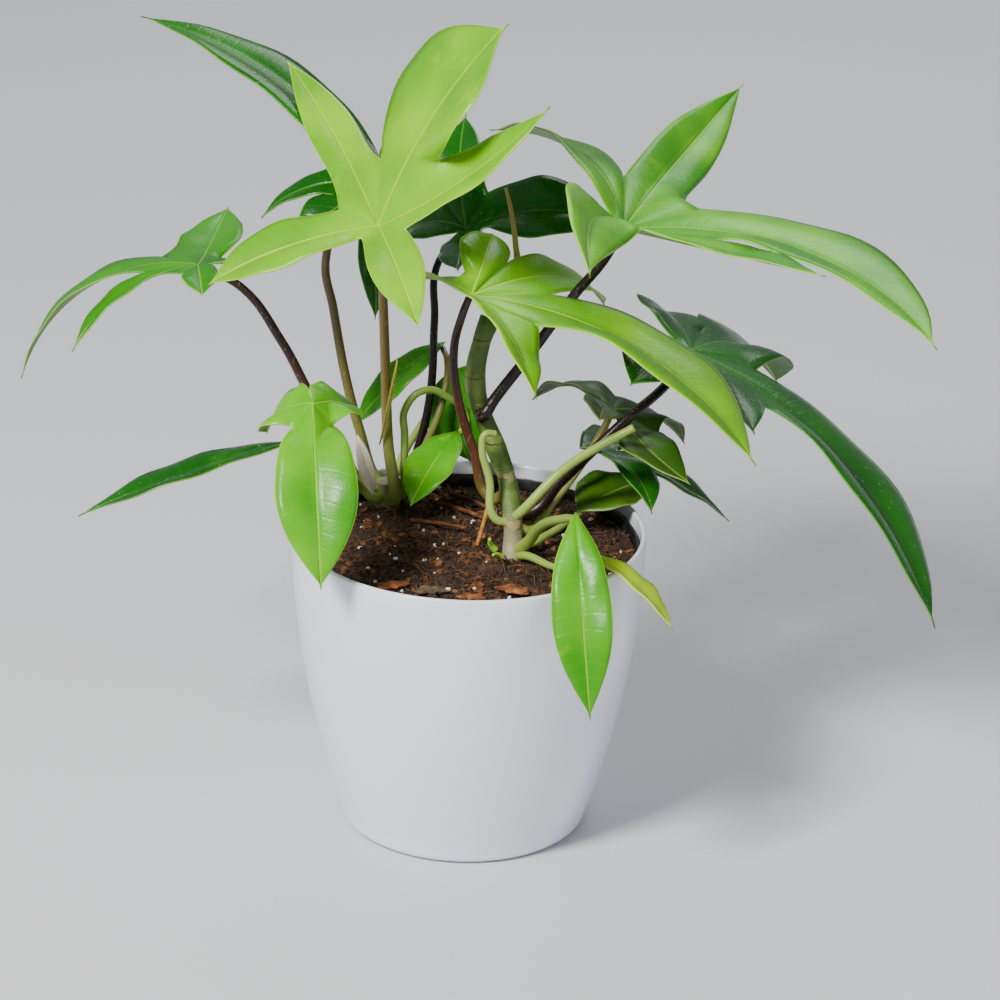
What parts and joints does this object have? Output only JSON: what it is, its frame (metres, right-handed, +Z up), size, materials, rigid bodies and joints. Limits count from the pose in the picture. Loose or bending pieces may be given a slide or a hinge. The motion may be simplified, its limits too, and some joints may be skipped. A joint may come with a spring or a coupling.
{
  "type": "potted plant",
  "caption": "Potted philodendron: glossy deeply lobed leaves on arching stalks, rising from dark soil in a nursery pot set inside a plain tapering white planter.",
  "frame": {"origin": "centre of the planter's flat base, on the surface it stands on", "axes": "+Z up along the planter's axis; the plant's front faces -Y; +X is to the right seen from the front"},
  "size_m": [0.3364, 0.2262, 0.303],
  "materials": {
    "planter": "smooth high gloss",
    "nursery_pot": "satin",
    "soil": "rough, damp",
    "stem": "satin",
    "petiole_green": "satin",
    "petiole_dark": "satin",
    "leaf_lime": "glossy, waxy",
    "leaf_bright": "glossy, waxy",
    "leaf_mid": "glossy, waxy",
    "leaf_dark": "glossy, waxy",
    "leaf_olive": "satin",
    "leaf_yellow": "glossy, waxy",
    "young_shoot": "satin",
    "sheath_cream": "dry, matt",
    "sheath_yellow": "dry, matt",
    "root": "dry, matt",
    "bark": "rough"
  },
  "bodies": {
    "root": {"aerial_root": "root", "bark_chip_1": "bark", "bark_chip_2": "bark", "bark_chip_3": "bark", "bark_chip_4": "bark", "cream_sheath": "sheath_cream", "cut_petiole": "petiole_green", "hooked_petiole": "petiole_green", "leaf_back_broad": "leaf_mid", "leaf_back_centre": "leaf_dark", "leaf_back_left": "leaf_dark", "leaf_back_low": "leaf_mid", "leaf_back_small": "leaf_bright", "leaf_crown": "leaf_lime", "leaf_far_left": "leaf_mid", "leaf_front_centre": "leaf_lime", "leaf_front_hanging": "leaf_bright", "leaf_left_front": "leaf_bright", "leaf_left_low": "leaf_dark", "leaf_mid_narrow": "leaf_dark", "leaf_mid_right": "leaf_olive", "leaf_right_lower": "leaf_dark", "leaf_right_upper": "leaf_bright", "leaf_soil_right": "leaf_olive", "leaf_yellow": "leaf_yellow", "left_stem": "stem", "main_stem": "stem", "new_leaf_spear": "young_shoot", "nursery_pot": "nursery_pot", "petiole_back_broad": "petiole_green", "petiole_back_centre": "petiole_green", "petiole_back_left": "petiole_green", "petiole_back_low": "petiole_green", "petiole_back_small": "petiole_green", "petiole_crown": "petiole_dark", "petiole_far_left": "petiole_dark", "petiole_front_centre": "petiole_dark", "petiole_front_hanging": "petiole_green", "petiole_left_front": "petiole_green", "petiole_left_low": "petiole_green", "petiole_mid_narrow": "petiole_green", "petiole_mid_right": "petiole_green", "petiole_right_lower": "petiole_dark", "petiole_right_upper": "petiole_green", "petiole_soil_right": "petiole_green", "petiole_yellow": "petiole_green", "planter": "planter", "root_1": "root", "root_2": "root", "root_3": "root", "root_4": "root", "side_shoot_1": "young_shoot", "side_shoot_2": "young_shoot", "soil": "soil", "surface_root_1": "root", "surface_root_2": "root", "surface_root_3": "root", "yellow_sheath": "sheath_yellow"}
  },
  "joints": []
}
